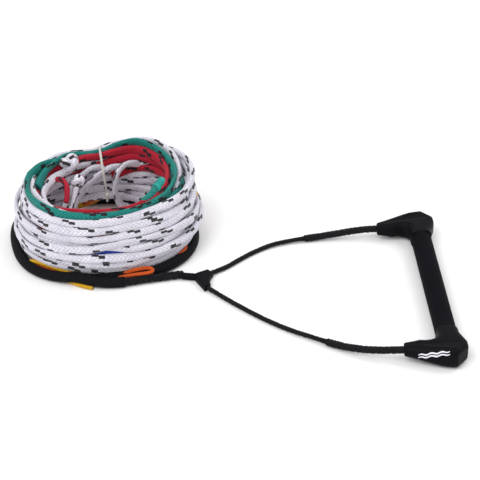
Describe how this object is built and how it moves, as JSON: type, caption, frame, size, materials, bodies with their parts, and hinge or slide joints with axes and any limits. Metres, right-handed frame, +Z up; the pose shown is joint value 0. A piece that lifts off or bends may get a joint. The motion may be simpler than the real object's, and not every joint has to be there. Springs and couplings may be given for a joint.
{
  "type": "tow rope handle",
  "caption": "Straight grip bar with two angular end caps on a rope bridle and yoke, with its wound ski rope held by a tie.",
  "frame": {"origin": "under the middle of the handle (grip bar and end caps), on the surface that it lies on", "axes": "+Z up, +Y along the grip bar to the far cap, +X away from the bridle and the wound rope"},
  "size_m": [0.5796, 0.4345, 0.1102],
  "materials": {
    "aluminium_tube": "satin",
    "grip_rubber": "fine matt texture",
    "cap_rubber": "smooth matt moulding",
    "plug_rubber": "matt",
    "clear_liner": "smooth",
    "black_rope": "braided polyethylene",
    "black_float_line": "fine tight braid over foam",
    "yoke_rubber": "matt moulding",
    "emblem_print": "satin",
    "white_rope": "hollow braid with black fleck",
    "green_rope": "hollow braid with black fleck",
    "red_rope": "hollow braid with black fleck",
    "orange_rope": "hollow braid",
    "yellow_rope": "hollow braid",
    "blue_rope": "hollow braid",
    "cable_tie": "natural nylon"
  },
  "bodies": {
    "line": {"bridle_splice_far": "black_rope", "bridle_splice_near": "black_rope", "bridle_leg_far": "black_rope", "bridle_leg_near": "black_rope", "yoke_body": "yoke_rubber", "yoke_neck": "yoke_rubber", "neck_link": "black_rope", "leader_splice": "black_rope", "float_line": "black_float_line", "hitch_knot": "black_float_line", "orange_section": "orange_rope", "yellow_section": "yellow_rope", "white_lower_coil": "white_rope", "white_upper_coil": "white_rope", "blue_section": "blue_rope", "green_section": "green_rope", "green_whipping": "green_rope", "red_section": "red_rope", "red_loop_end": "red_rope", "big_knot": "white_rope", "small_knot": "white_rope", "tow_line_end": "white_rope", "tow_loop": "white_rope", "tie_strap": "cable_tie", "tie_head": "cable_tie"},
    "handle": {"core_tube": "aluminium_tube", "grip_sleeve": "grip_rubber", "end_cap_far": "cap_rubber", "end_cap_near": "cap_rubber", "tube_plug_far": "plug_rubber", "tube_plug_near": "plug_rubber", "inner_liner": "clear_liner", "bridle_core_rope": "black_rope", "cap_emblem": "emblem_print"}
  },
  "joints": [
    {"name": "handle_swing", "type": "hinge", "parent": "line", "child": "handle", "pos_m": [-0.047, 0, 0.0151], "axis": [0, -1, 0], "range_deg": [0, 90]}
  ]
}
